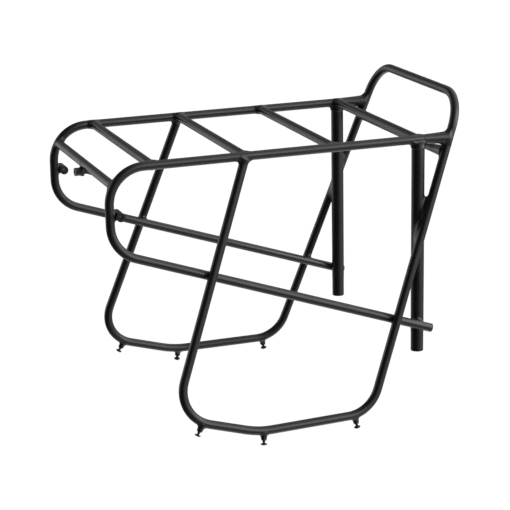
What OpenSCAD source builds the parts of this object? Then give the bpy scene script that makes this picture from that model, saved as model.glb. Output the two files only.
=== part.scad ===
// Rear cargo rack for a bicycle, welded from bent steel tube.
// Two side loops carry five rungs, one long tube makes both pannier hoops and the front handle, and two
// thicker posts plug into the bicycle's frame. X points to the front of the bicycle, Y to its left and
// Z up. The origin lies midway between the lower ends of the two posts.

/* [Tube stock] */
// Outside diameter of the rack tube
tube_od = 12.7; // [12:0.1:13.5]
// Wall thickness of the rack tube
tube_wall = 1.25; // [1:0.05:2]
// Outside diameter of the posts
post_od = 19.05; // [17:0.05:21]
// Wall thickness of the posts
post_wall = 1.65; // [1.2:0.05:2.5]
// Centre-line radius of the tube bends
bend_r = 50.8; // [45:0.1:54]

/* [Deck] */
// Distance between the centre lines of the two top rails
deck_w = 302; // [280:1:320]
// Height of the top rails' centre line above the post ends
deck_h = 316; // [300:1:340]
// Distance from the posts back to the rear uprights
deck_rear = 458.8; // [440:0.1:480]
// Distance from the posts forward to the front legs, along the top rails
deck_front = 49.1; // [46:0.1:55]
// Height of the rear rung on the rear bend, as an angle from the bend's lower end
rear_rung_turn = 31.6; // [25:0.1:40]
// Distance from the posts back to the second rung
second_rung_back = 396.3; // [380:0.1:401]
// Distance from the posts back to the middle rung
middle_rung_back = 262.2; // [255:0.1:270]
// Distance from the posts back to the fourth rung
fourth_rung_back = 129.2; // [110:0.1:150]
// Drop of the front cross tube below the top rails, centre to centre
cross_tube_drop = 23.3; // [20:0.1:40]

/* [Lower rails] */
// Height of the side loop's lower rear corner above the post ends
loop_corner_h = 200.8; // [195:0.1:205]
// Outward lean of the side loop between the top rail and the lower rear corner
loop_spread = 4.9; // [3:0.1:6]
// Downward slope of the lower rails towards the front, in degrees
lower_rail_slope = 19.1; // [18.5:0.1:19.3]
// Distance that the lower rails run on past the post centres
lower_rail_past = 15; // [12:0.5:17]

/* [Hoops and handle] */
// Distance from the posts back to the top of the rear hoop legs
rear_leg_back = 261.4; // [255:0.1:270]
// Rear lower corner of the hoop, distance back from the posts
hoop_rear_back = 389.8; // [380:0.1:400]
// Rear lower corner of the hoop, drop below the post ends
hoop_rear_drop = 35.6; // [30:0.1:40]
// Lowest corner of the hoop, distance back from the posts
hoop_apex_back = 266.7; // [255:0.1:280]
// Lowest corner of the hoop, drop below the post ends
hoop_apex_drop = 72.2; // [70:0.1:76]
// Front lower corner of the hoop, distance back from the posts
hoop_front_back = 91.5; // [85:0.1:100]
// Front lower corner of the hoop, drop below the post ends
hoop_front_drop = 70.5; // [68:0.1:72]
// Width over the hoops' lowest corners, between tube centre lines
hoop_w = 397.4; // [392:0.1:402]
// Centre-line radius of the wide bend at the hoop's lowest corner
apex_r = 132; // [100:1:160]
// Height of the handle's centre line above the post ends
handle_h = 372.5; // [368:0.1:390]

/* [Post ends] */
// Length of the sized end that enters the bicycle's frame
spigot_len = 28; // [20:1:28]
// Reduction of the sized end's diameter
spigot_step = 0.4; // [0.2:0.1:0.6]

/* [Bosses and light bracket] */
// Outside diameter of the threaded bosses on the side loops
loop_boss_d = 12.7; // [11:0.1:14]
// Length of the threaded bosses on the side loops
loop_boss_len = 25.4; // [20:0.1:30]
// Distance of the side loop bosses below the top rails
loop_boss_drop = 64.4; // [62:0.1:66]
// Diameter of the threaded holes for frame screws
screw_hole_d = 6; // [5:1:6]
// Diameter of the light boss
light_boss_d = 11.8; // [11:0.1:13]
// Length of the light boss
light_boss_len = 10; // [9:0.5:12]
// Thickness of the light bracket's plate
light_plate_t = 6; // [4:0.5:8]

/* [Hoop pegs] */
// Outside diameter of a peg's boss
peg_boss_d = 8.6; // [8:0.1:9.5]
// Length of a peg's boss below the tube
peg_boss_len = 8; // [7.5:0.1:9]
// Diameter of the peg screw's thread
peg_screw_d = 4; // [3.5:0.1:4.5]
// Length of the peg screw's thread below its head
peg_screw_len = 8; // [7.5:0.1:8]
// Length of thread that stands free between the boss and the head
peg_screw_out = 4.2; // [3:0.1:4.5]
// Diameter of the peg screw's head
peg_head_d = 9.2; // [8:0.1:10]
// Height of the peg screw's head
peg_head_h = 2.4; // [2:0.1:3]
// Place of the rear peg, as degrees turned into the hoop's rear bend
rear_peg_turn = 81; // [70:1:85]
// Place of the middle peg, as degrees turned into the hoop's wide bend
middle_peg_turn = 12; // [4:1:14]
// Place of the front peg, as degrees turned into the hoop's front bend
front_peg_turn = 10; // [5:1:20]

/* [Hidden] */
$fn = 64;

black = [0.06, 0.06, 0.065];
steel_black = [0.12, 0.12, 0.125];

// Space left between two pieces that a weld joins
fit_gap = 0.02;
// Radial play of a screw in its thread
thread_play = 0.05;
tube_r = tube_od / 2;
tube_id = tube_od - 2 * tube_wall;
post_id = post_od - 2 * post_wall;
// Length that a straight laps into a bend, and how much thicker a bend's wall is made to take it
bend_lap = 0.3;
bend_swell = 0.02;
// Diameter that a coped end is cut to, and half the length of a straight coping cut
cope_d = tube_od + 2 * fit_gap;
cope_half = 30;
// Depth of the seat that a loop boss is milled to on its tube
boss_seat = 0.4;
plug_t = 2;
half_w = deck_w / 2;

// Side loop on the left, from the front leg back along the deck and forward again below it
loop_rear_y = half_w + loop_spread;
post_touch_y = half_w + (post_od + tube_od) / 2 + fit_gap;
loop_front = [deck_front, half_w, deck_h];
loop_top_corner = [-deck_rear, half_w, deck_h];
loop_low_corner = [-deck_rear, loop_rear_y, loop_corner_h];
loop_end = rail_point(lower_rail_past);

// Hoop on the left, from the rear leg's top round the bottom and up to the handle
rear_leg_top = [-rear_leg_back, half_w, deck_h];
hoop_rear = [-hoop_rear_back, leg_corner_y(rear_leg_top, -hoop_rear_back, -hoop_rear_drop),
    -hoop_rear_drop];
hoop_apex = [-hoop_apex_back, hoop_w / 2, -hoop_apex_drop];
hoop_front = [-hoop_front_back, leg_corner_y(loop_front, -hoop_front_back, -hoop_front_drop),
    -hoop_front_drop];
handle_corner = along(hoop_front, loop_front, (handle_h - hoop_front.z) / (loop_front.z - hoop_front.z));
hoop_left = [rear_leg_top, hoop_rear, hoop_apex, hoop_front, handle_corner];
hoop_radii = [bend_r, apex_r, bend_r, bend_r];
hoop_points = concat(hoop_left, [for (i = [len(hoop_left) - 1 : -1 : 0]) across(hoop_left[i])]);
hoop_bends = concat(hoop_radii, [for (i = [len(hoop_radii) - 1 : -1 : 0]) hoop_radii[i]]);

// Rear rung, a little way up the side loop's top bend
rear_rung_x = -deck_rear + bend_r * (1 - cos(rear_rung_turn));
rear_rung_z = deck_h - bend_r * (1 - sin(rear_rung_turn));

// Front cross tube, where the front legs pass that height
cross_tube_z = deck_h - cross_tube_drop;
cross_tube_at = along(hoop_front, loop_front, (cross_tube_z - hoop_front.z) / (loop_front.z - hoop_front.z));

// Light bracket, hung below the middle of the rear rung
light_face_back = 15.1;
light_boss_under = 10.7;
light_boss_z = rear_rung_z - light_boss_under;
light_face_x = rear_rung_x - light_face_back;
light_hole_depth = 8;
light_plate_front = 7.8;
light_plate_under = 17.1;
light_arc_r = 12;
light_arc_under = 26.2;

// Peg, measured outward from the centre line of the hoop tube
peg_face = tube_r + peg_boss_len;
peg_cone_h = 2.1;
peg_cone_d = 5.8;
peg_root = tube_r * 0.7;
peg_hex = 2.5;
peg_hex_depth = 1.4;
peg_rim_h = 1.2;
peg_crown_d = 6.6;

function unit(v) = v / norm(v);
function across(p) = [p.x, -p.y, p.z];
function along(a, b, t) = a + (b - a) * t;
function any_normal(v) = unit(cross(v, abs(v.z) < norm(v) * 0.9 ? [0, 0, 1] : [1, 0, 0]));

// Centre line of the left lower rail where it passes the given X
function rail_point(x) = [
    x,
    along(loop_rear_y, post_touch_y, (x + deck_rear) / deck_rear),
    loop_corner_h - (x + deck_rear) * tan(lower_rail_slope)];

// Y of a hoop corner that makes the leg from top to corner just touch the outside of the lower rail
function leg_corner_y(top, x, z, steps = 6) = steps == 0
    ? hoop_w / 2
    : let (
        last = leg_corner_y(top, x, z, steps - 1),
        leg = [x, last, z] - top,
        rail = rail_point(0) - rail_point(-deck_rear),
        normal = unit(cross(rail, leg)),
        t = (rail_point(top.x).z - top.z) / (leg.z - leg.x * rail.z / rail.x),
        rail_y = rail_point(top.x + t * leg.x).y
    ) top.y + (rail_y + (tube_od + fit_gap) / abs(normal.y) - top.y) / t;

// A bend of the given radius between the lines p-q and q-r
function turn(p, q, r) = 180 - acos(unit(p - q) * unit(r - q));
function bend_start(p, q, r, radius) = q + unit(p - q) * radius * tan(turn(p, q, r) / 2);
function bend_end(p, q, r, radius) = bend_start(r, q, p, radius);
function bend_centre(p, q, r, radius) = q + unit(unit(p - q) + unit(r - q)) * radius / cos(turn(p, q, r) / 2);
function bend_out(p, q, r, radius, angle) =
    unit(bend_start(p, q, r, radius) - bend_centre(p, q, r, radius)) * cos(angle)
    + unit(q - p) * sin(angle);

// Direction of straight i of a tube, and the side its seam faces, carried round the bends without twist
function heading(points, i) = unit(points[i] - points[i - 1]);
function seam(points, i) = i == 1
    ? any_normal(heading(points, 1))
    : let (
        before = heading(points, i - 1),
        after = heading(points, i),
        side = seam(points, i - 1)
    ) unit(side - (before + after) * (side * after) / (1 + before * after));

// Length that bend i takes from each of its straights
function setback(points, radii, i) = i == 0 || i == len(points) - 1
    ? 0
    : radii[i - 1] * tan(turn(points[i - 1], points[i], points[i + 1]) / 2);
// Angle from the seam to the outside of bend i
function bend_roll(points, i) =
    let (
        along_tube = heading(points, i),
        next = heading(points, i + 1),
        outside = unit(along_tube * (next * along_tube) - next),
        side = seam(points, i)
    ) atan2(cross(side, outside) * along_tube, side * outside);

module place(at, x_axis, z_axis) {
    y_axis = cross(z_axis, x_axis);
    multmatrix([
        [x_axis.x, y_axis.x, z_axis.x, at.x],
        [x_axis.y, y_axis.y, z_axis.y, at.y],
        [x_axis.z, y_axis.z, z_axis.z, at.z],
        [0, 0, 0, 1]]) children();
}

module tube_section(od, id = 0) {
    difference() {
        circle(d = od);
        if (id > 0) circle(d = id);
    }
}

module tube_run(from, to, od, id = 0) {
    place(from, any_normal(to - from), unit(to - from))
        linear_extrude(height = norm(to - from)) tube_section(od, id);
}

module tube_bend(p, q, r, radius, od) {
    start = bend_start(p, q, r, radius);
    centre = bend_centre(p, q, r, radius);
    spoke = unit(start - centre);
    place(centre, spoke, cross(spoke, unit(q - p)))
        rotate_extrude(angle = turn(p, q, r)) translate([radius, 0]) tube_section(od);
}

// Moves on from the start of a bend to its end, where the tube heads along Z and turns towards -X
module past_bend(radius, angle) {
    translate([-radius, 0, 0]) rotate([0, -angle, 0]) translate([radius, 0, 0]) children();
}

// A bend with a wall that is a hair thicker than its straights', trimmed square at its end
module joining_bend(radius, angle, od, id, section_turn) {
    spare = 3;
    difference() {
        translate([-radius, 0, 0]) rotate([90, 0, 0]) rotate_extrude(angle = angle + spare)
            translate([radius, 0]) rotate(section_turn) tube_section(od + bend_swell, id - bend_swell);
        past_bend(radius, angle) translate([-od, -od, 0]) cube(2 * od);
    }
}

// The tube from points[i - 1] onwards, heading along Z with its seam facing X. Each straight laps into
// its bends, so that its end lies wholly inside the bend's wall.
module tube_onwards(points, radii, od, id, i) {
    last = len(points) - 1;
    lap_back = i == 1 ? 0 : bend_lap;
    lap_on = i == last ? 0 : bend_lap;
    run = norm(points[i] - points[i - 1]) - setback(points, radii, i - 1) - setback(points, radii, i);
    translate([0, 0, -lap_back]) linear_extrude(height = lap_back + run + lap_on) tube_section(od, id);
    if (i < last) {
        angle = turn(points[i - 1], points[i], points[i + 1]);
        roll = bend_roll(points, i);
        translate([0, 0, run]) rotate([0, 0, roll]) {
            joining_bend(radii[i - 1], angle, od, id, roll);
            past_bend(radii[i - 1], angle) rotate([0, 0, -roll])
                tube_onwards(points, radii, od, id, i + 1);
        }
    }
}

module bent_tube(points, radii, od, id) {
    place(points[0], seam(points, 1), heading(points, 1)) tube_onwards(points, radii, od, id, 1);
}

module right_side() {
    mirror([0, 1, 0]) children();
}

// Coping cuts, each the outside of the tube that an end is fitted to
module top_rail_cut(x, y) {
    tube_run([x - cope_half, y, deck_h], [x + cope_half, y, deck_h], cope_d);
}

module front_leg_cut() {
    tube_run(along(loop_front, hoop_front, 0.12), handle_corner, cope_d);
}

module rung_cut(x) {
    tube_run([x, -half_w, deck_h], [x, half_w, deck_h], cope_d);
}

// Shallow scallop in the front leg, where it leans against the post
module post_cut(y) {
    tube_run([0, y, spigot_len], [0, y, deck_h - tube_od], post_od + 2 * fit_gap);
}

module side_loop() {
    points = [loop_front, loop_top_corner, loop_low_corner, loop_end];
    color(black) difference() {
        bent_tube(points, [bend_r, bend_r], tube_od, tube_id);
        front_leg_cut();
    }
}

module hoop_and_handle_tube() {
    color(black) difference() {
        bent_tube(hoop_points, hoop_bends, tube_od, tube_id);
        for (y = [-half_w, half_w]) {
            top_rail_cut(-rear_leg_back, y);
            post_cut(y);
        }
        rung_cut(-middle_rung_back);
    }
}

module deck_rung(back) {
    color(black) difference() {
        tube_run([-back, -half_w, deck_h], [-back, half_w, deck_h], tube_od, tube_id);
        for (y = [-half_w, half_w]) top_rail_cut(-back, y);
    }
}

module rear_rung() {
    color(black) difference() {
        tube_run([rear_rung_x, -half_w, rear_rung_z], [rear_rung_x, half_w, rear_rung_z], tube_od, tube_id);
        tube_bend(loop_front, loop_top_corner, loop_low_corner, bend_r, cope_d);
        right_side() tube_bend(loop_front, loop_top_corner, loop_low_corner, bend_r, cope_d);
    }
}

module front_cross_tube() {
    color(black) difference() {
        tube_run(across(cross_tube_at), cross_tube_at, tube_od, tube_id);
        front_leg_cut();
        right_side() front_leg_cut();
    }
}

module post() {
    post_top = deck_h - tube_r * 0.7;
    color(black) difference() {
        union() {
            tube_run([0, half_w, 0], [0, half_w, spigot_len], post_od - spigot_step, post_id);
            tube_run([0, half_w, spigot_len], [0, half_w, post_top], post_od, post_id);
        }
        top_rail_cut(0, half_w);
        rung_cut(0);
    }
}

module rail_plug() {
    inward = unit(loop_low_corner - loop_end);
    color(black) tube_run(loop_end, loop_end + inward * plug_t, tube_id - 2 * fit_gap);
}

module loop_boss() {
    drop = deck_h - loop_boss_drop;
    lean = (deck_h - drop) / (deck_h - loop_corner_h);
    y = along(half_w, loop_rear_y, lean);
    at = [-deck_rear + tube_r + loop_boss_d / 2 - boss_seat, y, drop];
    color(black) difference() {
        place(at - [0, loop_boss_len / 2, 0], [1, 0, 0], [0, 1, 0])
            linear_extrude(height = loop_boss_len) tube_section(loop_boss_d, screw_hole_d);
        tube_run(loop_top_corner, loop_low_corner, cope_d);
    }
}

module light_boss() {
    color(black) place([light_face_x, 0, light_boss_z], [0, 1, 0], [1, 0, 0]) difference() {
        cylinder(d = light_boss_d, h = light_boss_len);
        translate([0, 0, -1]) cylinder(d = screw_hole_d, h = light_hole_depth + 1);
    }
}

module light_plate() {
    rear = light_face_x + light_boss_len;
    front = rear_rung_x + light_plate_front;
    foot = rear_rung_z - light_plate_under;
    top = rear_rung_z - tube_r / 2;
    front_chamfer = 3;
    color(black) difference() {
        place([0, light_plate_t / 2, 0], [1, 0, 0], [0, -1, 0])
            linear_extrude(height = light_plate_t) polygon([
                [rear, foot],
                [front, foot],
                [front, foot + front_chamfer],
                [front - front_chamfer, top],
                [rear, top]]);
        tube_run([rear_rung_x, -half_w, rear_rung_z], [rear_rung_x, half_w, rear_rung_z], cope_d);
        place([rear_rung_x, light_plate_t, rear_rung_z - light_arc_under], [1, 0, 0], [0, -1, 0])
            cylinder(r = light_arc_r, h = 2 * light_plate_t);
    }
}

// Puts a peg's pieces on the hoop's bend at the given corner, Z pointing out of the tube
module at_peg(corner, angle) {
    p = hoop_left[corner - 1];
    q = hoop_left[corner];
    r = hoop_left[corner + 1];
    radius = hoop_radii[corner - 1];
    outward = bend_out(p, q, r, radius, angle);
    place(bend_centre(p, q, r, radius) + outward * radius, any_normal(outward), outward) children();
}

module peg_boss(corner, angle) {
    boss_r = peg_boss_d / 2;
    color(black) difference() {
        at_peg(corner, angle) rotate_extrude() polygon([
            [peg_screw_d / 2, peg_root],
            [boss_r, peg_root],
            [boss_r, peg_face - peg_cone_h],
            [peg_cone_d / 2, peg_face],
            [peg_screw_d / 2, peg_face]]);
        tube_bend(hoop_left[corner - 1], hoop_left[corner], hoop_left[corner + 1], hoop_radii[corner - 1],
            cope_d);
    }
}

module peg_screw(corner, angle) {
    under_head = peg_face + peg_screw_out;
    color(steel_black) at_peg(corner, angle) difference() {
        union() {
            translate([0, 0, under_head - peg_screw_len])
                cylinder(d = peg_screw_d - 2 * thread_play, h = peg_screw_len + peg_rim_h / 2);
            translate([0, 0, under_head]) cylinder(d = peg_head_d, h = peg_rim_h);
            translate([0, 0, under_head + peg_rim_h])
                cylinder(d1 = peg_head_d, d2 = peg_crown_d, h = peg_head_h - peg_rim_h);
        }
        translate([0, 0, under_head + peg_head_h - peg_hex_depth])
            cylinder(d = peg_hex / cos(30), h = peg_hex_depth + 1, $fn = 6);
    }
}

right_side() side_loop();  // right_side_loop
side_loop();  // left_side_loop
hoop_and_handle_tube();
rear_rung();
deck_rung(second_rung_back);  // second_rung
deck_rung(middle_rung_back);  // middle_rung
deck_rung(fourth_rung_back);  // fourth_rung
deck_rung(0);  // front_rung
front_cross_tube();
right_side() post();  // right_post
post();  // left_post
right_side() rail_plug();  // right_rail_plug
rail_plug();  // left_rail_plug
right_side() loop_boss();  // right_loop_boss
loop_boss();  // left_loop_boss
light_plate();
light_boss();
right_side() peg_boss(1, rear_peg_turn);  // right_rear_peg_boss
right_side() peg_boss(2, middle_peg_turn);  // right_middle_peg_boss
right_side() peg_boss(3, front_peg_turn);  // right_front_peg_boss
peg_boss(1, rear_peg_turn);  // left_rear_peg_boss
peg_boss(2, middle_peg_turn);  // left_middle_peg_boss
peg_boss(3, front_peg_turn);  // left_front_peg_boss
right_side() peg_screw(1, rear_peg_turn);  // right_rear_peg_screw
right_side() peg_screw(2, middle_peg_turn);  // right_middle_peg_screw
right_side() peg_screw(3, front_peg_turn);  // right_front_peg_screw
peg_screw(1, rear_peg_turn);  // left_rear_peg_screw
peg_screw(2, middle_peg_turn);  // left_middle_peg_screw
peg_screw(3, front_peg_turn);  // left_front_peg_screw
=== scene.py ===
"""Looks of a welded rear rack: powder coat on the CAD tubes, weld skins at every joint, threaded peg
screws, a pale floor and a soft studio. Lengths in the geometry part are in millimetres, as in the CAD."""
import math
from typing import NamedTuple

import bpy
import numpy as np
from mathutils import Matrix, Vector


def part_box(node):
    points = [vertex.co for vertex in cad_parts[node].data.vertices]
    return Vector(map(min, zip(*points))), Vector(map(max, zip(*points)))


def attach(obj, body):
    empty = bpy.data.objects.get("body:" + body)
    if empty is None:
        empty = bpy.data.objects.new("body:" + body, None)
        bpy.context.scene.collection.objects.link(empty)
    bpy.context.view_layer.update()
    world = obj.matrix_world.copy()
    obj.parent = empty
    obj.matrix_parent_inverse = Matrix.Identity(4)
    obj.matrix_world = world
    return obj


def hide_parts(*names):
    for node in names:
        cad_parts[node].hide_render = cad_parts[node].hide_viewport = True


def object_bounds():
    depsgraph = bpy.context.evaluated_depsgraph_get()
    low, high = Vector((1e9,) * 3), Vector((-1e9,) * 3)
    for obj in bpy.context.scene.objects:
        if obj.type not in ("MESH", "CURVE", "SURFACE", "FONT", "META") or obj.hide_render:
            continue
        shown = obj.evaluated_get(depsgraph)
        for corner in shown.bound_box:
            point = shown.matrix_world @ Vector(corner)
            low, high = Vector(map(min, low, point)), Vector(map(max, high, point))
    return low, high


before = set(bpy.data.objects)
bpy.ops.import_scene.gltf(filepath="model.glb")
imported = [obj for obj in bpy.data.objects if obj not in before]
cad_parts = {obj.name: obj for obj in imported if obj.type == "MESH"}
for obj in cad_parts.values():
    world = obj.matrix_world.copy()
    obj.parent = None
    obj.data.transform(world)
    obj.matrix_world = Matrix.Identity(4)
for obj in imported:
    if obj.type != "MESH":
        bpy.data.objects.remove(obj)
cad_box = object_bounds()

MM = 0.001
FRAME_BODY = "rack_frame"
COAT_SLOT = "coated_steel"
SCREW_SLOT = "screw_steel"

# ---------------------------------------------------------------- sizes, the same as in part.scad
# X to the front, Y to the left, Z up from the lower ends of the posts
TUBE_R = 6.35
POST_R = 19.05 / 2
POST_TOP_UNDER = 0.75 * TUBE_R
BEND_R = 50.8
APEX_R = 132.0
HALF_W = 151.0
DECK_H = 316.0
DECK_REAR = 458.8
DECK_FRONT = 49.1
LOOP_CORNER_H = 200.8
LOOP_SPREAD = 4.9
LOWER_RAIL_SLOPE = math.radians(19.1)
LOWER_RAIL_PAST = 15.0
REAR_RUNG_TURN = math.radians(31.6)
SECOND_RUNG_X = -396.3
MIDDLE_RUNG_X = -262.2
FOURTH_RUNG_X = -129.2
REAR_LEG_X = -261.4
CROSS_TUBE_Z = DECK_H - 23.3
HOOP_W = 397.4
HOOP_REAR_X, HOOP_REAR_Z = -389.8, -35.6
HOOP_APEX_X, HOOP_APEX_Z = -266.7, -72.2
HOOP_FRONT_X, HOOP_FRONT_Z = -91.5, -70.5
HANDLE_H = 372.5
FIT_GAP = 0.02
BOSS_SEAT = 0.4
LOOP_BOSS_R = 6.35
LOOP_BOSS_LEN = 25.4
LOOP_BOSS_Z = DECK_H - 64.4
LIGHT_BOSS_R = 5.9
LIGHT_BOSS_LEN = 10.0
PEG_BOSS_R = 4.3
PEG_BOSS_LEN = 8.0
PEG_SCREW_R = 1.95
PEG_SCREW_LEN = 8.0
PEG_SCREW_OUT = 4.2
PEG_HEAD_R = 4.6
PEG_HEAD_H = 2.4
# Hoop corner of each peg, and its place as degrees turned into the bend there
PEG_TURNS = {"rear": (1, 81.0), "middle": (2, 12.0), "front": (3, 10.0)}


def vec(*xyz):
    return np.array(xyz, float)


def unit(v):
    return v / np.linalg.norm(v)


def any_normal(v):
    other = vec(0, 0, 1) if abs(v[2]) < np.linalg.norm(v) * 0.9 else vec(1, 0, 0)
    return unit(np.cross(v, other))


# ---------------------------------------------------------------- centre lines of the left half
LOOP_REAR_Y = HALF_W + LOOP_SPREAD
POST_TOUCH_Y = HALF_W + POST_R + TUBE_R + FIT_GAP


def rail_point(x):
    """Centre line of the lower rail."""
    share = (x + DECK_REAR) / DECK_REAR
    return vec(x, LOOP_REAR_Y + (POST_TOUCH_Y - LOOP_REAR_Y) * share,
               LOOP_CORNER_H - (x + DECK_REAR) * math.tan(LOWER_RAIL_SLOPE))


RAIL_RUN = rail_point(0) - rail_point(-DECK_REAR)


def leg_corner(top, x, z):
    """Hoop corner that makes the leg from top just touch the outside of the lower rail."""
    y = HOOP_W / 2
    for _ in range(6):    # each round comes closer, and six are plenty
        leg = vec(x, y, z) - top
        normal = unit(np.cross(RAIL_RUN, leg))
        t = (rail_point(top[0])[2] - top[2]) / (leg[2] - leg[0] * RAIL_RUN[2] / RAIL_RUN[0])
        rail_y = rail_point(top[0] + t * leg[0])[1]
        y = top[1] + (rail_y + (2 * TUBE_R + FIT_GAP) / abs(normal[1]) - top[1]) / t
    return vec(x, y, z)


LOOP_FRONT = vec(DECK_FRONT, HALF_W, DECK_H)
LOOP_TOP_CORNER = vec(-DECK_REAR, HALF_W, DECK_H)
LOOP_LOW_CORNER = vec(-DECK_REAR, LOOP_REAR_Y, LOOP_CORNER_H)
REAR_LEG_TOP = vec(REAR_LEG_X, HALF_W, DECK_H)
HOOP_REAR = leg_corner(REAR_LEG_TOP, HOOP_REAR_X, HOOP_REAR_Z)
HOOP_APEX = vec(HOOP_APEX_X, HOOP_W / 2, HOOP_APEX_Z)
HOOP_FRONT = leg_corner(LOOP_FRONT, HOOP_FRONT_X, HOOP_FRONT_Z)
FRONT_LEG_DIR = unit(LOOP_FRONT - HOOP_FRONT)
HANDLE_CORNER = HOOP_FRONT + FRONT_LEG_DIR * (HANDLE_H - HOOP_FRONT[2]) / FRONT_LEG_DIR[2]
HOOP = [REAR_LEG_TOP, HOOP_REAR, HOOP_APEX, HOOP_FRONT, HANDLE_CORNER]
HOOP_RADII = [BEND_R, APEX_R, BEND_R, BEND_R]


def bend_of(p, q, r, radius):
    """(centre, axis, start, turn) of the bend at corner q."""
    a, b = unit(p - q), unit(r - q)
    turn = math.pi - math.acos(float(a @ b))
    start = q + a * radius * math.tan(turn / 2)
    centre = q + unit(a + b) * radius / math.cos(turn / 2)
    return centre, unit(np.cross(start - centre, q - p)), start, turn


def on_bend(p, q, r, radius, degrees):
    """(point on the centre line, direction out of the bend) some degrees past the bend's start."""
    centre, axis, start, turn = bend_of(p, q, r, radius)
    angle = math.radians(degrees)
    outward = unit(start - centre) * math.cos(angle) + unit(q - p) * math.sin(angle)
    return centre + outward * radius, outward


# ---------------------------------------------------------------- distance fields of the tubes
def cone(p, q, p_radius, q_radius):
    """Round bar from p to q whose radius changes evenly, with flat ends."""
    axis, length = unit(q - p), np.linalg.norm(q - p)

    def distance(points):
        rel = points - p
        t = rel @ axis
        radial = np.linalg.norm(rel - t[:, None] * axis, axis=1)
        share = np.clip(t / length, 0, 1)
        return np.maximum(radial - p_radius - (q_radius - p_radius) * share,
                          np.abs(t - length / 2) - length / 2)
    return distance


def rod(p, q, radius):
    return cone(p, q, radius, radius)


def bent(centre, axis, radius, tube_r):
    """Full ring of tube, of which a bend is a part."""
    def distance(points):
        rel = points - centre
        t = rel @ axis
        flat = np.linalg.norm(rel - t[:, None] * axis, axis=1)
        return np.hypot(flat - radius, t) - tube_r
    return distance


def slab(low, high):
    middle, half = (low + high) / 2, (high - low) / 2

    def distance(points):
        away = np.abs(points - middle) - half
        return np.linalg.norm(np.maximum(away, 0), axis=1) + np.minimum(away.max(axis=1), 0)
    return distance


# ---------------------------------------------------------------- weld beads
SKIN_DEPTH = 0.6       # how far a weld reaches into the tubes below it
SKIN_LEAST = 0.03      # a weld ends where it stands less than this above the tubes
SKIN_END_SLOPE = 8     # steepness of that end
TOE = 2.2              # width over which a bead runs out into a tube
RIPPLE_PITCH = 1.7
RIPPLE_HEIGHT = 0.13
RIPPLE_RING_R = 8      # usual radius of a bead round a joint
SLOW_WANDER = 0.07     # how much a bead's width changes along it, as shares of the width
FAST_WANDER = 0.05


def soft_min(a, b, reach):
    share = np.clip(1 - np.abs(a - b) / reach, 0, 1)
    return np.minimum(a, b) - share ** 2 * reach / 4


class Weld(NamedTuple):
    """Weld beads on a group of solids. Each seam (i, j, size) is a flat bead laid in the corner between
    solids i and j, size wide on both. Its ripples run round the pole at the heart, or along the pole where
    the bead fades. The grid has the given cell and goes from low to high about the heart."""
    name: str
    solids: list
    seams: list
    heart: np.ndarray
    pole: np.ndarray
    low: np.ndarray
    high: np.ndarray
    cell: float
    swelling: object = None    # weld metal that stands proud of the tubes themselves
    fade: object = None        # share of the bead's size at a place


def cube(half):
    return vec(-half, -half, -half), vec(half, half, half)


def weld_field(weld, seed):
    """Distance field of the weld's skin. The seed shifts the waviness of the bead's width."""
    pole = unit(weld.pole)
    side = any_normal(pole)
    other = np.cross(pole, side)
    ripples = round(2 * math.pi * RIPPLE_RING_R / RIPPLE_PITCH)

    def distance(points):
        rel = points - weld.heart
        around = np.arctan2(rel @ other, rel @ side)
        wander = (1 + SLOW_WANDER * np.sin(2 * around + seed)
                  + FAST_WANDER * np.sin(5 * around + 2.3 * seed))
        if weld.fade is None:
            wave, width = np.cos(ripples * around), 1
        else:
            wave, width = np.cos(rel @ pole * 2 * math.pi / RIPPLE_PITCH), weld.fade(rel)
        gaps = [solid(points) for solid in weld.solids]
        plain = np.min(gaps, axis=0)
        smooth = plain if weld.swelling is None else soft_min(plain, weld.swelling(points), TOE)
        for i, j, size in weld.seams:
            leg = size * wander * width
            inward = np.clip(1 - np.abs(gaps[i] - gaps[j]) / leg, 0, 1)
            bead = (gaps[i] + gaps[j] - leg) * math.sqrt(0.5) - RIPPLE_HEIGHT * wave * inward
            smooth = soft_min(smooth, bead, TOE)
        end = (SKIN_LEAST - (plain - smooth)) * SKIN_END_SLOPE
        return np.maximum(np.maximum(smooth, -(plain + SKIN_DEPTH)), end)
    return distance


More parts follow.
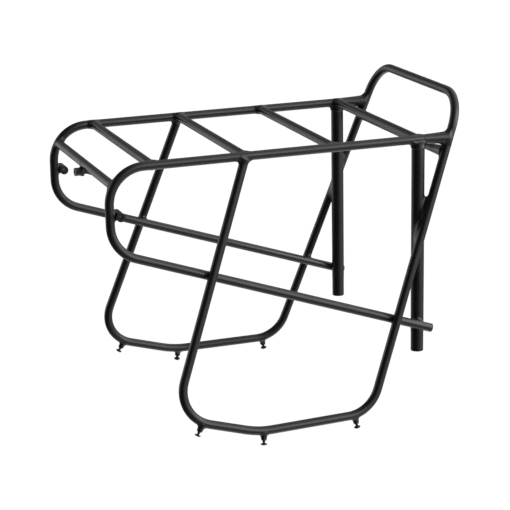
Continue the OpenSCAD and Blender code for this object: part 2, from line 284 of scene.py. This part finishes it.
def surface_net(distance, low, high, cell):
    """(vertices, quads) of the surface where distance is zero, one vertex in each cell that it crosses."""
    counts = np.ceil((high - low) / cell).astype(int) + 1
    axes = [low[i] + cell * np.arange(counts[i]) for i in range(3)]
    grid = np.stack(np.meshgrid(*axes, indexing="ij"), axis=-1)
    value = distance(grid.reshape(-1, 3)).reshape(counts)
    inside = value < 0
    cells = counts - 1
    total = np.zeros((*cells, 3))
    hits = np.zeros(cells)
    steps = np.eye(3, dtype=int)

    def window(offset, shape):
        return tuple(slice(o, o + s) for o, s in zip(offset, shape))

    for axis in range(3):
        shape = counts - steps[axis]
        near, far = window((0, 0, 0), shape), window(steps[axis], shape)
        cross = inside[near] != inside[far]
        a, b = value[near], value[far]
        share = np.where(cross, a / np.where(cross, a - b, 1), 0)
        at = grid[near] + share[..., None] * (grid[far] - grid[near])
        u, v = [k for k in range(3) if k != axis]
        for du in (0, 1):
            for dv in (0, 1):
                offset = steps[u] * du + steps[v] * dv
                part = window(offset, cells)
                total += np.where(cross[part][..., None], at[part], 0)
                hits += cross[part]
    used = hits > 0    # cells that the surface crosses, each with one vertex
    number = -np.ones(cells, int)
    number[used] = np.arange(used.sum())
    vertices = total[used] / hits[used][:, None]

    quads = []    # one for each grid edge that the surface crosses
    for axis in range(3):
        u, v = (axis + 1) % 3, (axis + 2) % 3
        shape = counts - steps[axis]
        near, far = inside[window((0, 0, 0), shape)], inside[window(steps[axis], shape)]
        where = np.argwhere(near != far)
        where = where[(where[:, u] > 0) & (where[:, v] > 0)
                      & (where[:, u] < cells[u]) & (where[:, v] < cells[v])]
        leaving = near[tuple(where.T)]
        ring = [where - steps[u] - steps[v], where - steps[v], where, where - steps[u]]
        quad = np.stack([number[tuple(r.T)] for r in ring], axis=1)
        quads.append(np.where(leaving[:, None], quad, quad[:, ::-1]))
    quads = np.concatenate(quads)
    quads = quads[(quads >= 0).all(axis=1)]

    # Draws the vertices onto the surface itself
    step, least_slope, rounds = 0.02, 0.2, 4
    for _ in range(rounds):
        here = distance(vertices)
        slope = np.stack([(distance(vertices + step * e) - distance(vertices - step * e)) / (2 * step)
                          for e in np.eye(3)], axis=1)
        move = (here / np.maximum((slope ** 2).sum(axis=1), least_slope))[:, None] * slope
        vertices = vertices - np.clip(move, -cell / 3, cell / 3)
    return vertices, quads


def keep_big_shells(vertices, quads, least=60):
    """Drops the crumbs that a grid can leave where the skin runs out thin. Quads belong to one shell when
    they share an edge."""
    edges = np.sort(np.stack([quads, np.roll(quads, -1, axis=1)], axis=-1).reshape(-1, 2), axis=1)
    owner = np.repeat(np.arange(len(quads)), 4)
    order = np.lexsort(edges.T)
    edges, owner = edges[order], owner[order]
    shared = (edges[1:] == edges[:-1]).all(axis=1)
    parent = list(range(len(quads)))

    def root(i):
        while parent[i] != i:
            parent[i] = parent[parent[i]]
            i = parent[i]
        return i

    for a, b in zip(owner[:-1][shared].tolist(), owner[1:][shared].tolist()):
        parent[root(b)] = root(a)
    roots = np.array([root(i) for i in range(len(quads))])
    names, sizes = np.unique(roots, return_counts=True)
    kept = quads[np.isin(roots, names[sizes >= least])]
    used, kept = np.unique(kept, return_inverse=True)
    return vertices[used], kept.reshape(-1, 4)


def mesh_piece(name, vertices, faces, slot, body, sharp_degrees=40):
    mesh = bpy.data.meshes.new(name)
    mesh.from_pydata((np.asarray(vertices) * MM).tolist(), [], [list(map(int, f)) for f in faces])
    mesh.validate()
    mesh.update()
    mesh.polygons.foreach_set("use_smooth", [True] * len(mesh.polygons))
    mesh.set_sharp_from_angle(angle=math.radians(sharp_degrees))
    piece = bpy.data.objects.new(name, mesh)
    bpy.context.scene.collection.objects.link(piece)
    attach(piece, body)
    return piece


def across(vertices, faces):
    """The mirror image on the other side of the rack."""
    return vertices * vec(1, -1, 1), [list(f)[::-1] for f in faces]


FAR = 90.0             # length of a tube's stretch beyond what its weld can reach
END_DEPTH = 4.2        # where a joined tube begins, from the centre line of the one it meets
LEG_END_DEPTH = 6.2
RUNG_BEAD = 2.9
REAR_RUNG_BEAD = 3.2
LEG_TOP_BEAD = 3.6
POST_BEAD = 4.0
POST_SIDE_BEAD = 1.6
COLLAR_TOP = 5.2       # collar of weld metal round the post, below the top rail's centre line
COLLAR_FOOT = 11.6
COLLAR_TOP_R = POST_R - 0.5
COLLAR_FOOT_R = POST_R + 1.0
KEEL = 2.0             # a slim rod this low in the top rail keeps a bead on the rail's underside
KEEL_END = 7.0         # where it stops behind the front leg
UNDER_LEG_BEAD = 6.4
FLARE_BEAD = 3.6
FLARE_FROM = vec(-3, 0, -1.4)    # opened-out end of the top rail, from where it meets the front leg
FLARE_RUN = vec(-37, 0, 0.8)
FLARE_R = 9.2
FLARE_END_R = TUBE_R - 0.3
CROSS_TUBE_BEAD = 3.2
PILE_FROM = vec(0, -2, 2.6)      # weld metal piled on the cross tube, from where it meets the leg
PILE_RUN = vec(0, -25, -1)
PILE_R = 8.2
PILE_END_R = TUBE_R - 0.4
CROSSING_BEAD = 3.8
WEDGE_BEAD = 5.2       # long bead where the front leg leans on the post, from where they touch
WEDGE_FOOT = -44.0
WEDGE_TOP = 56.0
WEDGE_FOOT_RUN = 30.0  # stretches over which the bead's ends grow to full size
WEDGE_TOP_RUN = 5.0
WEDGE_LEAST = 0.02
LOOP_BOSS_BEAD = 2.8
PEG_BOSS_BEAD = 1.7
PEG_BOSS_START = 4.5   # the peg boss begins inside its tube, this far from the centre line
PEG_FACE_CLEAR = 0.5   # its weld is kept this far from the boss's face
LIGHT_PLATE_BEAD = 2.0
LIGHT_BOSS_BEAD = 1.2
LIGHT_SEED = 31        # seeds of the two welds at the light boss start here
ALONG_X, ALONG_Y, ALONG_Z = np.eye(3)


def joined_end(at, run, depth=END_DEPTH):
    """A tube that leaves the one it is welded to at the given point of that tube's centre line."""
    return rod(at + depth * run, at + FAR * run, TUBE_R)


def wedge_fade(rel):
    """Size of the bead between leg and post, from its thin lower end to its blunt upper end."""
    low = np.clip((rel[:, 2] - WEDGE_FOOT) / WEDGE_FOOT_RUN, 0, 1)
    high = np.clip((WEDGE_TOP - rel[:, 2]) / WEDGE_TOP_RUN, 0, 1)
    return np.maximum(np.sqrt(np.minimum(low, high)), WEDGE_LEAST)


def top_rail_at(x):
    return rod(vec(x - FAR, HALF_W, DECK_H), vec(x + FAR, HALF_W, DECK_H), TUBE_R)


def rung_welds():
    """Two rungs on the straight top rail."""
    for name, x in (("second_rung", SECOND_RUNG_X), ("fourth_rung", FOURTH_RUNG_X)):
        heart = vec(x, HALF_W, DECK_H)
        yield Weld(name, [top_rail_at(x), joined_end(heart, -ALONG_Y)], [(0, 1, RUNG_BEAD)], heart, ALONG_Y,
                   *cube(13), 0.45)


def rear_leg_weld():
    """Middle rung and rear hoop leg, which meet at one place of the top rail."""
    leg = unit(HOOP_REAR - REAR_LEG_TOP)
    solids = [top_rail_at(REAR_LEG_X), joined_end(REAR_LEG_TOP, leg, LEG_END_DEPTH),
              joined_end(vec(MIDDLE_RUNG_X, HALF_W, DECK_H), -ALONG_Y)]
    seams = [(0, 1, LEG_TOP_BEAD), (0, 2, RUNG_BEAD), (1, 2, RUNG_BEAD)]
    return Weld("rear_leg", solids, seams, REAR_LEG_TOP, leg, *cube(19), 0.55)


def rear_rung_weld():
    """Rear rung on the loop's rear bend."""
    centre, axis, _, _ = bend_of(LOOP_FRONT, LOOP_TOP_CORNER, LOOP_LOW_CORNER, BEND_R)
    heart = vec(-DECK_REAR + BEND_R * (1 - math.cos(REAR_RUNG_TURN)), HALF_W,
                DECK_H - BEND_R * (1 - math.sin(REAR_RUNG_TURN)))
    return Weld("rear_rung", [bent(centre, axis, BEND_R, TUBE_R), joined_end(heart, -ALONG_Y)],
                [(0, 1, REAR_RUNG_BEAD)], heart, ALONG_Y, *cube(14), 0.45)


def post_top_weld():
    """Post and front rung under the top rail."""
    heart = vec(0, HALF_W, DECK_H)
    below = heart - KEEL * ALONG_Z
    keel = rod(below - FAR * ALONG_X, below + FAR * ALONG_X, TUBE_R - KEEL)
    post = rod(heart - FAR * ALONG_Z, heart - POST_TOP_UNDER * ALONG_Z, POST_R)
    collar = cone(heart - COLLAR_TOP * ALONG_Z, heart - COLLAR_FOOT * ALONG_Z, COLLAR_TOP_R, COLLAR_FOOT_R)
    seams = [(3, 1, POST_BEAD), (0, 1, POST_SIDE_BEAD), (0, 2, RUNG_BEAD), (1, 2, RUNG_BEAD)]
    return Weld("post_top", [top_rail_at(0), post, joined_end(heart, -ALONG_Y), keel], seams, heart,
                ALONG_Z, *cube(20), 0.6, collar)


def front_leg_solid():
    return rod(LOOP_FRONT - 2 * FAR * FRONT_LEG_DIR, LOOP_FRONT + FAR * FRONT_LEG_DIR, TUBE_R)


def front_leg_weld():
    """Flared end of the top rail, wrapped round the front leg."""
    heart = LOOP_FRONT
    flare_at = heart + FLARE_FROM
    flare = cone(flare_at, flare_at + FLARE_RUN, FLARE_R, FLARE_END_R)
    keel_end = heart - vec(KEEL_END, 0, KEEL)
    keel = rod(keel_end - FAR * ALONG_X, keel_end, TUBE_R - KEEL)
    return Weld("front_leg", [front_leg_solid(), joined_end(heart, -ALONG_X), keel],
                [(0, 1, FLARE_BEAD), (0, 2, UNDER_LEG_BEAD)], heart, ALONG_X,
                vec(-42, -14, -22), vec(14, 14, 20), 0.6, flare)


def cross_tube_weld():
    """Front cross tube on the inner side of the front leg."""
    cross = HOOP_FRONT + FRONT_LEG_DIR * (CROSS_TUBE_Z - HOOP_FRONT[2]) / FRONT_LEG_DIR[2]
    pile_at = cross + PILE_FROM
    pile = cone(pile_at, pile_at + PILE_RUN, PILE_R, PILE_END_R)
    return Weld("cross_tube", [front_leg_solid(), joined_end(cross, -ALONG_Y)], [(0, 1, CROSS_TUBE_BEAD)],
                cross, ALONG_Y, vec(-15, -30, -15), vec(15, 12, 15), 0.5, pile)


def crossing_welds():
    """Where legs and posts pass the lower rail."""
    rail_dir = unit(RAIL_RUN)
    rear_leg_dir = unit(HOOP_REAR - REAR_LEG_TOP)
    for name, point, run, radius in (
            ("rear_leg_crossing", REAR_LEG_TOP, rear_leg_dir, TUBE_R),
            ("front_leg_crossing", LOOP_FRONT, -FRONT_LEG_DIR, TUBE_R),
            ("post_crossing", vec(0, HALF_W, DECK_H), -ALONG_Z, POST_R)):
        normal = unit(np.cross(run, rail_dir))
        s, t, _ = np.linalg.solve(np.stack([run, -rail_dir, normal], axis=1), rail_point(0) - point)
        on_leg, on_rail = point + s * run, rail_point(0) + t * rail_dir
        heart = on_rail + unit(on_leg - on_rail) * TUBE_R
        high_end = rail_point(LOWER_RAIL_PAST) if name == "post_crossing" else on_rail + FAR * rail_dir
        solids = [rod(on_leg - FAR * run, on_leg + FAR * run, radius),
                  rod(on_rail - FAR * rail_dir, high_end, TUBE_R)]
        yield Weld(name, solids, [(0, 1, CROSSING_BEAD)], heart, unit(on_leg - on_rail), *cube(16), 0.55)


def leg_on_post_weld():
    """Front leg leaning on the post, with a long bead up the wedge between them."""
    touch = LOOP_FRONT - DECK_FRONT / FRONT_LEG_DIR[0] * FRONT_LEG_DIR
    post = rod(vec(0, HALF_W, 0), vec(0, HALF_W, DECK_H), POST_R)
    return Weld("leg_on_post", [post, front_leg_solid()], [(0, 1, WEDGE_BEAD)], touch, ALONG_Z,
                vec(-26, -18, -48), vec(32, 8, 60), 0.6, None, wedge_fade)


def loop_boss_weld():
    """Threaded boss on the loop's upright."""
    lean = (DECK_H - LOOP_BOSS_Z) / (DECK_H - LOOP_CORNER_H)
    at = vec(-DECK_REAR + TUBE_R + LOOP_BOSS_R - BOSS_SEAT, HALF_W + LOOP_SPREAD * lean, LOOP_BOSS_Z)
    upright = unit(LOOP_LOW_CORNER - LOOP_TOP_CORNER)
    on_upright = LOOP_TOP_CORNER + upright * (DECK_H - LOOP_BOSS_Z) / -upright[2]
    half = LOOP_BOSS_LEN / 2 * ALONG_Y
    solids = [rod(on_upright - FAR * upright, on_upright + FAR * upright, TUBE_R),
              rod(at - half, at + half, LOOP_BOSS_R)]
    return Weld("loop_boss", solids, [(0, 1, LOOP_BOSS_BEAD)], (at + on_upright) / 2, ALONG_X,
                *cube(13), 0.45)


def peg_boss_welds():
    """Peg bosses under the hoop."""
    for name, (corner, degrees) in PEG_TURNS.items():
        p, q, r = HOOP[corner - 1:corner + 2]
        radius = HOOP_RADII[corner - 1]
        centre, axis, _, _ = bend_of(p, q, r, radius)
        at, out = on_bend(p, q, r, radius, degrees)
        face = at + (TUBE_R + PEG_BOSS_LEN - PEG_FACE_CLEAR) * out
        boss = rod(at + PEG_BOSS_START * out, face, PEG_BOSS_R)
        yield Weld(name + "_peg_boss", [bent(centre, axis, radius, TUBE_R), boss],
                   [(0, 1, PEG_BOSS_BEAD)], at + TUBE_R * out, out, *cube(9), 0.35)


def left_welds():
    """Every weld of the left half. A weld's place in the list seeds its waviness."""
    return [*rung_welds(), rear_leg_weld(), rear_rung_weld(), post_top_weld(), front_leg_weld(),
            cross_tube_weld(), *crossing_welds(), leg_on_post_weld(), loop_boss_weld(), *peg_boss_welds()]


def light_welds():
    """Light plate under the middle of the rear rung, and the boss on the plate."""
    plate_low, plate_high = (np.array(c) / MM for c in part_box("light_plate"))
    boss_low, boss_high = (np.array(c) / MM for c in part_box("light_boss"))
    rung_low, rung_high = (np.array(c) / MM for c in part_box("rear_rung"))
    rung_at = vec((rung_low[0] + rung_high[0]) / 2, 0, (rung_low[2] + rung_high[2]) / 2)
    boss_at = vec(boss_low[0], 0, (boss_low[2] + boss_high[2]) / 2)
    boss_root = boss_at + LIGHT_BOSS_LEN * ALONG_X

    # The parts of the plate that the beads are laid on: the one runs up into the rung, the other stops
    # short of the plate's lower and front edges
    upper_plate = slab(plate_low + vec(0, 0, 5), plate_high + vec(-3, 0, 3))
    rung = rod(rung_at - FAR * ALONG_Y, rung_at + FAR * ALONG_Y, TUBE_R)
    rear_plate = slab(plate_low + vec(0, 0, 0.5), plate_high - vec(8, 0, 0))
    boss = rod(boss_at, boss_root, LIGHT_BOSS_R)
    return [Weld("light_plate_weld", [rung, upper_plate], [(0, 1, LIGHT_PLATE_BEAD)],
                 rung_at - TUBE_R * ALONG_Z, ALONG_Z, *cube(12), 0.4),
            Weld("light_boss_weld", [boss, rear_plate], [(0, 1, LIGHT_BOSS_BEAD)],
                 boss_root, ALONG_X, *cube(10), 0.35)]


def weld_mesh(weld, seed):
    net = surface_net(weld_field(weld, seed), weld.heart + weld.low, weld.heart + weld.high, weld.cell)
    return keep_big_shells(*net)


def build_welds():
    pieces = []
    for seed, weld in enumerate(left_welds()):
        vertices, faces = weld_mesh(weld, seed)
        for side, shape in (("left", (vertices, faces)), ("right", across(vertices, faces))):
            pieces.append(mesh_piece(f"{side}_{weld.name}_weld", *shape, COAT_SLOT, FRAME_BODY))
    for seed, weld in enumerate(light_welds(), LIGHT_SEED):
        pieces.append(mesh_piece(weld.name, *weld_mesh(weld, seed), COAT_SLOT, FRAME_BODY))
    return pieces


# ---------------------------------------------------------------- peg screws
AROUND = 48            # sides of every ring of the screw
THREAD_PITCH = 0.7
THREAD_DEPTH = 0.33
THREAD_FLAT = 0.12     # share of the pitch that is flat at crest and root
SOCKET_R = 1.25        # half the width across the flats of the hex socket
SOCKET_DEPTH = 1.4
SOCKET_MOUTH_R = 1.62
HEAD_RIM_H = 0.55
CROWN_START = 24       # degrees from the axis where the domed crown begins


def screw_rings():
    """Closed rings of points down the screw: socket, crown, underside of the head, thread and tip. Z points
    to the head, and zero is the underside of the head."""
    theta = np.arange(AROUND) * 2 * math.pi / AROUND
    circle = np.ones(AROUND)

    def ring(radius, z):
        return np.stack([radius * np.cos(theta), radius * np.sin(theta), z * circle], axis=1)

    fold = (theta + math.pi / 6) % (math.pi / 3) - math.pi / 6
    hexagon = SOCKET_R / np.cos(fold)
    floor = PEG_HEAD_H - SOCKET_DEPTH
    # Socket, up to its rounded mouth
    yield ring(0.45 * hexagon, floor - 0.25)
    yield ring(hexagon * 0.98, floor)
    yield ring(hexagon, floor + 0.1)
    yield ring(hexagon, PEG_HEAD_H - 0.22)
    yield ring(hexagon * 0.35 + SOCKET_MOUTH_R * 0.65 * circle, PEG_HEAD_H - 0.02)

    # Domed crown, rim, underside of the head and a thin neck
    for a in np.linspace(math.radians(CROWN_START), math.radians(90), 10):
        yield ring(circle * PEG_HEAD_R * math.sin(a),
                   HEAD_RIM_H + (PEG_HEAD_H - HEAD_RIM_H) * math.cos(a) ** 0.8)
    yield ring(circle * PEG_HEAD_R, 0.2)
    yield ring(circle * (PEG_HEAD_R - 0.2), 0.0)
    yield ring(circle * (PEG_SCREW_R + 0.06), 0.0)
    yield ring(circle * PEG_SCREW_R * 0.96, -0.08)

    # Thread, which fades in and out, and the tip
    top, bottom = -0.35, -PEG_SCREW_LEN + 0.4
    rows = int((top - bottom) / (THREAD_PITCH / 10))
    for z in np.linspace(top, bottom, rows):
        phase = (z / THREAD_PITCH - theta / (2 * math.pi)) % 1
        tooth = np.clip((np.abs(phase - 0.5) * 2 - THREAD_FLAT) / (1 - 2 * THREAD_FLAT), 0, 1)
        fade = min(1.0, (top - z) / 0.3, (z - bottom) / 0.5 + 0.3)
        yield ring(PEG_SCREW_R - THREAD_DEPTH * fade * tooth, z)
    yield ring(circle * (PEG_SCREW_R - THREAD_DEPTH - 0.05), bottom - 0.25)
    yield ring(circle * (PEG_SCREW_R - THREAD_DEPTH - 0.35), -PEG_SCREW_LEN)


def screw_mesh():
    """(vertices, faces) of a button screw with a hex socket and a real thread."""
    rings = list(screw_rings())
    socket_floor = vec(0, 0, PEG_HEAD_H - SOCKET_DEPTH - 0.35)
    tip = vec(0, 0, -PEG_SCREW_LEN)
    vertices = np.concatenate(rings + [socket_floor[None], tip[None]])
    faces = []
    for row in range(len(rings) - 1):
        for k in range(AROUND):
            a, b = row * AROUND + k, row * AROUND + (k + 1) % AROUND
            faces.append([a, a + AROUND, b + AROUND, b])
    first, last = len(vertices) - 2, len(vertices) - 1
    end = (len(rings) - 1) * AROUND
    for k in range(AROUND):
        faces.append([first, k, (k + 1) % AROUND])
        faces.append([last, end + (k + 1) % AROUND, end + k])
    return vertices, faces


def build_screws():
    vertices, faces = screw_mesh()
    pieces = []
    for number, (name, (corner, degrees)) in enumerate(PEG_TURNS.items()):
        p, q, r = HOOP[corner - 1:corner + 2]
        at, out = on_bend(p, q, r, HOOP_RADII[corner - 1], degrees)
        x = any_normal(out)
        spin = math.radians(17 + 41 * number)    # no two screws stop at the same turn
        x = x * math.cos(spin) + np.cross(out, x) * math.sin(spin)
        placed = vertices @ np.stack([x, np.cross(out, x), out])
        placed = placed + at + out * (TUBE_R + PEG_BOSS_LEN + PEG_SCREW_OUT)
        for side, shape in (("left", (placed, faces)), ("right", across(placed, faces))):
            node = f"{side}_{name}_peg_screw"
            piece = mesh_piece(node + "_threaded", *shape, SCREW_SLOT, f"{side}_{name}_peg",
                               sharp_degrees=50)
            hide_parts(node)
            pieces.append(piece)
    return pieces


# ---------------------------------------------------------------- materials
def new_material(name):
    material = bpy.data.materials.new(name)
    material.use_nodes = True
    tree = material.node_tree
    tree.nodes.clear()
    return material, tree


def add(tree, kind, inputs=None, **settings):
    node = tree.nodes.new(kind)
    for key, value in settings.items():
        setattr(node, key, value)
    for key, value in (inputs or {}).items():
        if isinstance(value, bpy.types.NodeSocket):
            tree.links.new(value, node.inputs[key])
        else:
            node.inputs[key].default_value = value
    return node


def powder_coat(name, colour, roughness, peel):
    """Satin black powder coat: orange peel, slow changes of gloss, and a little dust lying on top."""
    material, tree = new_material(name)
    place = add(tree, "ShaderNodeTexCoord").outputs["Object"]
    peel_noise = add(tree, "ShaderNodeTexNoise", {"Vector": place, "Scale": 750.0, "Detail": 2.0,
                                                  "Roughness": 0.45})
    grit = add(tree, "ShaderNodeTexNoise", {"Vector": place, "Scale": 3200.0, "Detail": 1.0})
    slow = add(tree, "ShaderNodeTexNoise", {"Vector": place, "Scale": 28.0, "Detail": 3.0})
    height = add(tree, "ShaderNodeMath", {0: grit.outputs["Fac"], 1: 0.18, 2: peel_noise.outputs["Fac"]},
                 operation="MULTIPLY_ADD")
    bump = add(tree, "ShaderNodeBump", {"Strength": peel, "Distance": 0.00012,
                                        "Height": height.outputs[0]})
    gloss = add(tree, "ShaderNodeMapRange", {"Value": slow.outputs["Fac"], "From Min": 0.3, "From Max": 0.7,
                                             "To Min": roughness - 0.04, "To Max": roughness + 0.05})
    up = add(tree, "ShaderNodeSeparateXYZ",
             {"Vector": add(tree, "ShaderNodeNewGeometry").outputs["Normal"]}).outputs["Z"]
    dust_noise = add(tree, "ShaderNodeTexNoise", {"Vector": place, "Scale": 160.0, "Detail": 5.0})
    dust_patch = add(tree, "ShaderNodeMapRange", {"Value": dust_noise.outputs["Fac"], "From Min": 0.45,
                                                  "From Max": 0.8, "To Min": 0.0, "To Max": 0.10})
    facing = add(tree, "ShaderNodeMapRange", {"Value": up, "From Min": 0.3, "From Max": 1.0})
    dust = add(tree, "ShaderNodeMath", {0: dust_patch.outputs[0], 1: facing.outputs[0]},
               operation="MULTIPLY")
    tint = add(tree, "ShaderNodeMix", {"Factor": dust.outputs[0]}, data_type="RGBA")
    tint.inputs["A"].default_value = (*colour, 1)
    tint.inputs["B"].default_value = (0.12, 0.115, 0.11, 1)
    shader = add(tree, "ShaderNodeBsdfPrincipled", {
        "Base Color": tint.outputs["Result"], "Roughness": gloss.outputs[0], "Normal": bump.outputs[0],
        "IOR": 1.52})
    add(tree, "ShaderNodeOutputMaterial", {"Surface": shader.outputs[0]})
    return material


def screw_finish():
    """Black oxide on a steel screw, a little worn where a tool and the thread rub."""
    material, tree = new_material("black_oxide_screw")
    place = add(tree, "ShaderNodeTexCoord").outputs["Object"]
    fine = add(tree, "ShaderNodeTexNoise", {"Vector": place, "Scale": 1800.0, "Detail": 3.0})
    wear = add(tree, "ShaderNodeMapRange", {
        "Value": add(tree, "ShaderNodeNewGeometry").outputs["Pointiness"],
        "From Min": 0.53, "From Max": 0.62})
    patch = add(tree, "ShaderNodeMath", {0: wear.outputs[0], 1: fine.outputs["Fac"]},
                operation="MULTIPLY")
    tint = add(tree, "ShaderNodeMix", {"Factor": patch.outputs[0]}, data_type="RGBA")
    tint.inputs["A"].default_value = (0.014, 0.014, 0.016, 1)
    tint.inputs["B"].default_value = (0.09, 0.09, 0.095, 1)
    rough = add(tree, "ShaderNodeMapRange", {"Value": fine.outputs["Fac"], "From Min": 0.3,
                                             "From Max": 0.7, "To Min": 0.27, "To Max": 0.42})
    bump = add(tree, "ShaderNodeBump", {"Strength": 0.12, "Distance": 0.00004,
                                        "Height": fine.outputs["Fac"]})
    shader = add(tree, "ShaderNodeBsdfPrincipled", {
        "Base Color": tint.outputs["Result"], "Metallic": 0.35, "Roughness": rough.outputs[0],
        "Normal": bump.outputs[0]})
    add(tree, "ShaderNodeOutputMaterial", {"Surface": shader.outputs[0]})
    return material


# ---------------------------------------------------------------- studio
ROOM_GLOW = 0.033      # strength of the light from everywhere
FLOOR_HALF = 12.0      # metres
FLOOR_GAP = 0.0004
# Direction, width in degrees and strength of each soft light round the object
SOFT_LIGHTS = [
    ((0.70, -0.60, 0.40), 24, 1.6),    # big window in front, on the right
    ((0.45, -0.80, 0.40), 14, 2.6),    # its bright middle
    ((0.70, 0.30, 0.65), 24, 1.3),      # high in front
    ((-0.80, 0.55, 0.15), 14, 1.6),     # strip behind, on the left
    ((-0.35, 0.95, -0.10), 14, 0.95),   # weak strip on the left
    ((0.30, 0.40, -0.85), 24, 1.2),     # light off the pale floor
    ((0.45, -0.30, -0.85), 24, 0.8),
]
# Name, place, target, size and power of each area light, in metres and watts
AREA_LIGHTS = [
    ("overhead", (-0.2, 0, 2.6), (-0.2, 0, 0.0), (2.4, 2.4), 1.5),
    ("beside_the_handle", (0.62, -0.40, 0.42), (0.05, -0.15, 0.38), (0.4, 0.4), 1.6),
]


def build_floor():
    """Pale floor for the camera. The tubes see through it to the soft lights that stand in for its glow."""
    z = cad_box[0].z - FLOOR_GAP
    mesh = bpy.data.meshes.new("floor")
    corners = ((-1, -1), (1, -1), (1, 1), (-1, 1))
    mesh.from_pydata([(x * FLOOR_HALF, y * FLOOR_HALF, z) for x, y in corners], [], [(0, 1, 2, 3)])
    floor = bpy.data.objects.new("floor", mesh)
    bpy.context.scene.collection.objects.link(floor)
    material, tree = new_material("pale_floor")
    matt = add(tree, "ShaderNodeBsdfDiffuse", {"Color": (0.16, 0.16, 0.16, 1)})
    glow = add(tree, "ShaderNodeEmission", {"Color": (1, 1, 1, 1), "Strength": 0.93})
    pale = add(tree, "ShaderNodeAddShader", {0: matt.outputs[0], 1: glow.outputs[0]})
    clear = add(tree, "ShaderNodeBsdfTransparent")
    path = add(tree, "ShaderNodeLightPath").outputs["Is Camera Ray"]
    mix = add(tree, "ShaderNodeMixShader", {0: path, 1: clear.outputs[0], 2: pale.outputs[0]})
    add(tree, "ShaderNodeOutputMaterial", {"Surface": mix.outputs[0]})
    mesh.materials.append(material)


def build_world():
    """White for the camera; for the object a dim room with the soft lights that its gloss shows."""
    world = bpy.data.worlds.new("studio")
    bpy.context.scene.world = world
    world.use_nodes = True
    tree = world.node_tree
    tree.nodes.clear()
    direction = add(tree, "ShaderNodeTexCoord").outputs["Generated"]
    total = ROOM_GLOW
    for aim, width, strength in SOFT_LIGHTS:
        sharpness = 1 / math.radians(width) ** 2
        dot = add(tree, "ShaderNodeVectorMath", {0: direction, 1: Vector(aim).normalized()},
                  operation="DOT_PRODUCT").outputs["Value"]
        fall = add(tree, "ShaderNodeMath", {0: dot, 1: sharpness, 2: -sharpness},
                   operation="MULTIPLY_ADD").outputs[0]
        lobe = add(tree, "ShaderNodeMath", {0: fall}, operation="EXPONENT").outputs[0]
        total = add(tree, "ShaderNodeMath", {0: lobe, 1: strength, 2: total},
                    operation="MULTIPLY_ADD").outputs[0]
    room = add(tree, "ShaderNodeBackground", {"Color": (1, 1, 1, 1), "Strength": total})
    seen = add(tree, "ShaderNodeBackground", {"Color": (1, 1, 1, 1), "Strength": 1.0})
    path = add(tree, "ShaderNodeLightPath").outputs["Is Camera Ray"]
    mix = add(tree, "ShaderNodeMixShader", {0: path, 1: room.outputs[0], 2: seen.outputs[0]})
    add(tree, "ShaderNodeOutputWorld", {"Surface": mix.outputs[0]})


def area_light(name, place, target, size, power):
    light = bpy.data.lights.new(name, "AREA")
    light.shape = "RECTANGLE"
    light.size, light.size_y = size
    light.energy = power
    lamp = bpy.data.objects.new(name, light)
    lamp.location = place
    lamp.rotation_mode = "QUATERNION"
    lamp.rotation_quaternion = (Vector(target) - Vector(place)).to_track_quat("-Z", "Y")
    bpy.context.scene.collection.objects.link(lamp)


CAMERA_TURN = (-19.7706, 15.7927, -1.0715)    # azimuth, elevation and roll in degrees
CAMERA_PLACE = vec(-1091.575, -2493.607, 876.388)
CAMERA_LENS = 130.2353
LENS_SHIFT = 1 / 1020    # share of the picture's width, to the left and up


def build_camera():
    azimuth, elevation, roll = (math.radians(d) for d in CAMERA_TURN)
    back = vec(math.sin(azimuth) * math.cos(elevation), -math.cos(azimuth) * math.cos(elevation),
               math.sin(elevation))
    right = vec(math.cos(azimuth), math.sin(azimuth), 0)
    up = np.cross(back, right)
    right, up = (math.cos(roll) * right + math.sin(roll) * up,
                 math.cos(roll) * up - math.sin(roll) * right)
    data = bpy.data.cameras.new("camera")
    data.sensor_width = 36.0
    data.lens = CAMERA_LENS
    data.shift_x = -LENS_SHIFT
    data.shift_y = LENS_SHIFT
    camera = bpy.data.objects.new("camera", data)
    turn = Matrix([[right[i], up[i], back[i]] for i in range(3)]).to_4x4()
    camera.matrix_world = Matrix.Translation(Vector(CAMERA_PLACE * MM)) @ turn
    bpy.context.scene.collection.objects.link(camera)
    bpy.context.scene.camera = camera


# ---------------------------------------------------------------- put it together
coat = powder_coat("black_powder_coat", (0.0068, 0.0068, 0.0072), 0.32, 0.25)
screw = screw_finish()
for name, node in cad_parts.items():
    node.data.materials.clear()
    node.data.materials.append(screw if name.endswith("_screw") else coat)
for piece in build_welds():
    piece.data.materials.append(coat)
for piece in build_screws():
    piece.data.materials.append(screw)

build_floor()
build_world()
for light in AREA_LIGHTS:
    area_light(*light)
build_camera()
bpy.context.scene.view_settings.view_transform = "Standard"
